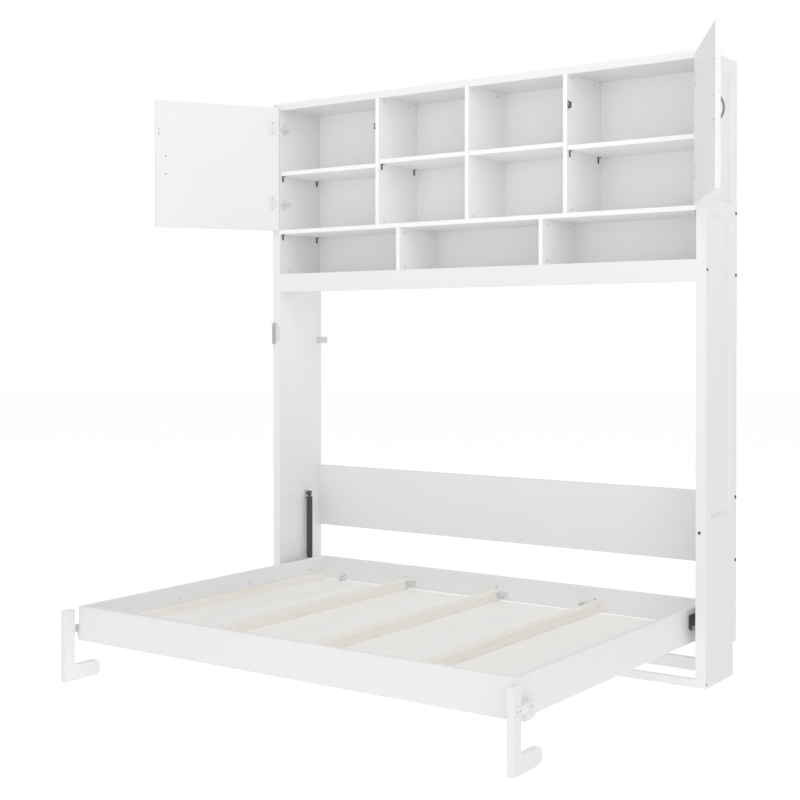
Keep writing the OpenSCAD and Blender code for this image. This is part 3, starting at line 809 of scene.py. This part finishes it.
def make_nails():
    """Nail heads that hold the back panels to the boards, on the wall side."""
    nails = Piece()
    head = [(0, 0.0), (1.9, -0.2), (1.9, -0.6), (0, -0.6)]
    rows = [node_box("main_shelf")[0].z + 9, node_box("top_panel")[0].z - 8]
    rows.append(node_box("bottom_shelf")[0].z + 9)
    count = 14
    for z in rows:
        for i in range(count + 1):
            x = -IN_X + 12 + (2 * IN_X - 24) * i / count
            nails.lathe(head, at((x, DEPTH, z), Y), sides=10)
    for x, _ in board_faces()[2::2]:
        for z in (SEAM_Z + 140, SEAM_Z + 280, SEAM_Z + 420):
            nails.lathe(head, at((x + 9, DEPTH, z), Y), sides=10)
    nails.make("back_panel_nails", "cabinet", [SCREW])


# ---------------------------------------------------------------- doors

DOOR_W, DOOR_T, DOOR_STILE, DOOR_PANEL = 570, 18, 60, 12
HINGE_EDGE, HINGE_IN = 5.5, 9           # the hinge axis to the door's hinge edge and inner face
HANDLE_CC, HANDLE_OUT, HANDLE_R, HANDLE_EDGE = 80, 21, 4, 45
STRIKE_EDGE, CUP_EDGE = 13, 32          # a strike plate to the free edge, a cup to the hinge edge
JOINTS = {j["name"]: Vector(j["pos_m"]) / MM for j in frame["joints"] if "pos_m" in j}
RANGES = {j["name"]: j["range_deg"] for j in frame["joints"] if "range_deg" in j}
PIVOT = JOINTS["bed_fold"]
SPRING_TOP = JOINTS["right_spring_tilt"]


def door_matrix(side, sign):
    """Takes a closed right-hand door, drawn round its hinge axis, to where the door hangs."""
    axis = JOINTS[f"{side}_door_swing"]
    turn = Matrix.Rotation(math.radians(RANGES[f"{side}_door_swing"][1]), 4, "Z")
    placed = Matrix.Translation((abs(axis.x), axis.y, 0)) @ turn
    return MIRROR @ placed if sign < 0 else placed


def bow_handle(piece, matrix):
    """An arched bar on two flared feet. The feet stand on local y = 0 and the arch runs along Z."""
    half, rise = HANDLE_CC / 2, HANDLE_OUT - HANDLE_R
    r = (half ** 2 + rise ** 2) / (2 * rise)
    span = math.degrees(math.asin(half / r)) - 1.5
    arch = [(0, y, z) for y, z in arc((r - rise, 0), r, 180 - span, 180 + span, 28)]
    piece.tube(arch, HANDLE_R, 0, 20, matrix)
    foot = [(0, 0), (HANDLE_R + 1, 0), (HANDLE_R + 1, 1.6), (HANDLE_R + 0.6, 2.4)]
    foot += [(HANDLE_R - 0.4, 3), (0, 3)]
    for z in (-half, half):
        piece.lathe(foot, matrix @ at((0, 0, z), -Y))


def make_door_hardware():
    """Mouldings, handles, hinge cups and catch plates of both doors."""
    left_edge, right_edge = HINGE_EDGE - DOOR_W, HINGE_EDGE
    outer = HINGE_IN - DOOR_T
    for side, sign in SIDES:
        place = door_matrix(side, sign)
        body = f"{side}_door"
        low_z, high_z = (v.z for v in node_box(f"{side}_door_frame"))
        face = basis(X, Z, -Y, (0, HINGE_IN - DOOR_PANEL, 0))
        bead = Piece()
        bead.moulding((left_edge + DOOR_STILE, low_z + DOOR_STILE),
                      (right_edge - DOOR_STILE, high_z - DOOR_STILE), face, 9, DOOR_T - DOOR_PANEL - 1)
        bead.make(f"{side}_door_moulding", body, [DOOR_PAINT], matrix=place)

        low, high = node_box(f"{side}_door_handle")
        grip_z, grip_x = (low.z + high.z) / 2, left_edge + HANDLE_EDGE
        handle = Piece()
        bow_handle(handle, Matrix.Translation((grip_x, outer, grip_z)))
        handle.make(f"{side}_bow_handle", body, [HANDLE], [f"{side}_door_handle"], place)

        screws = Piece()
        for z in (-1, 1):
            screws.screw((grip_x, HINGE_IN, grip_z + z * HANDLE_CC / 2), Y, 3.6)
        screws.make(f"{side}_handle_screws", body, [SCREW, SOCKET_SHADE], matrix=place)

        strike = Piece()
        catch_z = sum(v.z for v in node_box("door_catches")) / 2 - 8
        spot = basis(X, Z, Y, (left_edge + STRIKE_EDGE, HINGE_IN, catch_z))
        strike.plate(round_rect(8, 30, 3.5), 0.8, spot, 0.3)
        for z in (-9, 9):
            strike.screw((left_edge + STRIKE_EDGE, HINGE_IN + 1, catch_z + z), Y, 2.6, 1, 2)
        strike.make(f"{side}_strike_plate", body, [SATIN, SCREW, SOCKET_SHADE], matrix=place)

        cups = Piece()
        for low, high in solids(f"{side}_door_hinges"):
            z, tall = (low.z + high.z) / 2, high.z - low.z
            seat = basis(X, Z, Y, (right_edge - CUP_EDGE, HINGE_IN, z))
            cups.plate(round_rect(32, tall, 9), 1.2, seat, 0.4)
            rim = [(13, 0), (13, 1.6), (14.4, 2.0), (15.6, 1.6), (15.8, 0)]
            cups.lathe(rim, seat, 0, 32, ring=True)
            cups.lathe([(0, 1.35), (13.2, 1.35), (13.2, 0.5), (0, 0.5)], seat, 0, 32)
            cups.box((right_edge - 26, HINGE_IN, z - 6), (right_edge - 3, HINGE_IN + 2.0, z + 6), 0.8, 2)
            for dz in (-1, 1):
                cups.screw((right_edge - CUP_EDGE, HINGE_IN + 1.0, z + dz * tall * 0.4), Y, 3.0, 1, 2)
        cups.make(f"{side}_hinge_cups", body, [SATIN, SCREW, SOCKET_SHADE],
                  [f"{side}_door_hinges"], place)


# ---------------------------------------------------------------- bed hardware


def angle_plate(piece, corner, along, width, reach, t=2.6):
    """An L-shaped bracket. corner is where its outer faces meet; along, out and up are unit vectors."""
    u, v, w = along
    outline = [(0, 1.5), (0.45, 0.45), (1.5, 0), (reach, 0), (reach, t), (t + 2, t)]
    outline += [(t + 0.6, t + 0.6), (t, t + 2), (t, reach), (0, reach)]
    piece.plate(outline, width, basis(u, v, w, Vector(corner) - w * width / 2), 0.35)
    for first, second in ((u, v), (v, u)):
        for k in (-1, 1):
            spot = Vector(corner) + first * (reach * 0.62 + k * reach * 0.14) + second * t
            piece.screw(spot + w * k * width * 0.24, second, 2.9, 1, 2)


def make_joist_brackets():
    brackets = Piece()
    rail_z = node_box("face_boards")[1].z
    front_y, rear_y = node_box("bed_front_rail")[1].y, node_box("bed_rear_rail")[0].y
    for low, high in solids("joist_brackets"):
        if low.z < rail_z + 1:
            corner = Vector(((low.x + high.x) / 2, rear_y, rail_z))
            angle_plate(brackets, corner, (-Y, Z, X), high.x - low.x, 33)
            continue
        rear = high.y > 0
        corner = Vector((low.x, rear_y if rear else front_y, (low.z + high.z) / 2))
        angle_plate(brackets, corner, (X, -Y if rear else Y, Z), high.z - low.z, 37)
    brackets.make("angle_brackets", "bed", [ZINC, SCREW, SOCKET_SHADE], ["joist_brackets"])


SIDE_SCREWS = (0.345, 0.64, 0.93)    # how far back each screw stands, as a part of the rail's length
SIDE_SCREW_Z = 53                    # screws above the rail's lower edge


def make_rail_screws():
    """Screw heads on the inner faces of the rails: along the sides, and over each joist at the rear."""
    screws = Piece()
    inner = node_box("bed_right_rail")[0].x
    front_y, rear_y = node_box("bed_front_rail")[1].y, node_box("bed_rear_rail")[0].y
    z = node_box("bed_rear_rail")[0].z
    for _, sign in SIDES:
        for part in SIDE_SCREWS:
            y = front_y + (rear_y - front_y) * part
            screws.screw((sign * inner, y, z + SIDE_SCREW_Z), (-sign, 0, 0), 3.4)
    for low, high in solids("joists"):
        x = (low.x + high.x) / 2
        screws.screw((x, rear_y, high.z + 14), -Y, 3.4)
        screws.screw((x, front_y, high.z + 14), Y, 3.4)
    screws.make("rail_screws", "bed", [SCREW, SOCKET_SHADE])


def make_bed_pivots():
    """Screws in the plates that the bed turns on."""
    finish_node("bed_pivot_plates", BLACK, 0.7)
    low, high = node_box("bed_pivot_plates")
    plate_x = node_box("bed_right_rail")[1].x + 5
    screws = Piece()
    for _, sign in SIDES:
        for y, z in ((0.4, 0.84), (0.94, 0.84), (0.4, 0.32), (0.08, 0.84)):
            spot = (sign * plate_x, low.y + (high.y - low.y) * y, low.z + (high.z - low.z) * z)
            screws.screw(spot, (sign, 0, 0), 3.8)
    screws.make("pivot_plate_screws", "bed", [SCREW, SOCKET_SHADE])


LEG_LOW, LEG_HIGH = node_box("right_leg")
LEG_OUT = LEG_HIGH.x
LEG_W = 52.5              # width of a leg's upright
FOOT_R = 30               # radius of the round tip of its foot


def make_leg_blocks():
    """Moulded blocks that carry the leg pins, with a ribbed rear end and a stepped foot."""
    blocks = Piece()
    for low, high in solids("leg_blocks"):
        sign = math.copysign(1, low.x)
        near = min(abs(low.x), abs(high.x))
        far = LEG_OUT - 1
        def side_box(x1, x2, y1, y2, z1, z2, r=1.2):
            a, b = sorted((sign * x1, sign * x2))
            blocks.box((a, y1, z1), (b, y2, z2), r, 2)
        side_box(near, far, low.y, high.y - 3, low.z + 6, high.z, 1.6)
        side_box(near, far - 3, low.y + 2, high.y - 6, low.z, low.z + 8, 1.2)
        for k in range(5):
            x = near + 3 + k * (far - near - 6) / 4
            side_box(x - 1.5, x + 1.5, high.y - 6, high.y, low.z + 8, high.z - 2, 0.8)
        pin = JOINTS["right_leg_swing"]
        shaft = [(0, 0), (5, 0), (5, 6.2), (4.4, 7), (0, 7)]
        blocks.lathe(shaft, at((sign * far, pin.y, pin.z), (sign, 0, 0)), 1)
    blocks.make("leg_pivot_blocks", "bed", [BLOCK, ZINC], ["leg_blocks"])


def make_legs():
    """J-shaped legs and the ribbed straps that join them to their pins."""
    for side, sign in SIDES:
        flip = MIRROR if sign < 0 else None
        tip = (LEG_HIGH.y - FOOT_R, FOOT_R)
        rear = LEG_LOW.y + LEG_W
        outline = arc((LEG_LOW.y + 5, 5), 5, 180, 270, 4)
        outline += arc(tip, FOOT_R, -90, 90, 18)
        outline += arc((rear + 5, 2 * FOOT_R + 5), 5, 270, 180, 4)
        outline += arc((rear - 4, LEG_HIGH.z - 4), 4, 0, 90, 4)
        outline += arc((LEG_LOW.y + 4, LEG_HIGH.z - 4), 4, 90, 180, 4)
        leg = Piece()
        leg.plate(outline, LEG_OUT - LEG_LOW.x, basis(Y, Z, X, (LEG_LOW.x, 0, 0)), 2.6, steps=3)
        leg.make(f"{side}_j_leg", f"{side}_leg", [PAINT], [f"{side}_leg"], flip)

        low, high = node_box("right_leg_strap")
        pin = JOINTS["right_leg_swing"]
        strap = Piece()
        r = (high.z - low.z) / 2
        shape = [(low.y, low.z), (pin.y, low.z)] + arc((pin.y, pin.z), r, -90, 90, 12) + [(low.y, high.z)]
        strap.plate(shape, 2.2, basis(Y, Z, X, (LEG_OUT, 0, 0)), 0.5)
        for k in range(5):
            y = rear + 5 + k * 8
            strap.box((LEG_OUT + 1, y, low.z + 1.5), (high.x, y + 3.5, high.z - 1.5), 0.6, 2)
        for y in (low.y + 10, rear - 9):
            strap.screw((LEG_OUT + 2.1, y, pin.z), X, 2.6, 1, 2)
        strap.make(f"{side}_ribbed_strap", f"{side}_leg", [BLOCK, SCREW, SOCKET_SHADE],
                   [f"{side}_leg_strap"], flip)


def make_pull_handle():
    low, high = node_box("bed_pull_handle")
    handle = Piece()
    foot = Matrix.Translation(((low.x + high.x) / 2, (low.y + high.y) / 2, high.z))
    bow_handle(handle, foot @ Matrix.Rotation(math.radians(90), 4, "X"))
    handle.make("bed_bow_handle", "bed", [HANDLE], ["bed_pull_handle"])


# ---------------------------------------------------------------- gas springs


def make_gas_springs():
    """Gas springs: a crimped tube with end plugs, a polished rod, and an eye at each end."""
    tube_low, tube_high = node_box("right_spring_tube")
    rod_low, rod_high = node_box("right_spring_rod")
    x, y = (tube_low.x + tube_high.x) / 2, (tube_low.y + tube_high.y) / 2
    r = (tube_high.x - tube_low.x) / 2
    top, low_pin = SPRING_TOP.z, rod_low.z + 11
    for side, sign in SIDES:
        flip = MIRROR if sign < 0 else None
        tube = Piece()
        length = top - 15 - tube_low.z
        profile = [(6, 8), (12, 8), (13, 9.5), (13, 12), (r - 0.6, 12.5), (r, 14), (r, length - 14)]
        profile += [(r - 0.8, length - 12), (r - 0.8, length - 9), (r, length - 7), (r, length - 3)]
        profile += [(r - 2, length), (6, length)]
        gland = [(5.4, 0), (12, 0), (13.4, 1), (13.4, 7), (12, 8), (5.4, 8)]
        tube.lathe(gland, at((x, y, tube_low.z)), 1, 32, ring=True)
        tube.lathe(profile, at((x, y, tube_low.z)), 0, 40, ring=True)
        tube.lathe([(0, -2), (6, -2), (6, 9), (0, 9)], at((x, y, top - 16)), 0, 24)
        eye = [(5.1, -8), (9.6, -8), (11, -6.6), (11, 6.6), (9.6, 8), (5.1, 8)]
        tube.lathe(eye, at((x, y, top), X), 1, 32, ring=True)
        tube.make(f"{side}_gas_spring_tube", f"{side}_spring", [SPRING_BLACK, PLASTIC],
                  [f"{side}_spring_tube"], flip)
        rod = Piece()
        height = rod_high.z - low_pin
        rod.lathe([(0, 8), (5, 8), (5, height - 1), (4, height), (0, height)], at((x, y, low_pin)), 0, 28)
        rod.lathe([(0, 6), (7, 6), (7.6, 7), (7.6, 16), (7, 17), (0, 17)], at((x, y, low_pin)), 1, 6)
        rod.lathe(eye, at((x, y, low_pin), X), 1, 32, ring=True)
        rod.make(f"{side}_gas_spring_rod", f"{side}_rod", [ROD, PLASTIC],
                 [f"{side}_spring_rod"], flip)


make_camera()
make_studio()
make_boards()
make_side_mouldings()
make_bed_rails()
make_shelf_pins()
make_cam_caps()
make_connector_bolts()
make_door_catches()
make_hinge_plates()
make_wall_brackets()
make_post_plates()
make_lock()
make_nails()
make_door_hardware()
make_joist_brackets()
make_rail_screws()
make_bed_pivots()
make_leg_blocks()
make_legs()
make_pull_handle()
make_gas_springs()
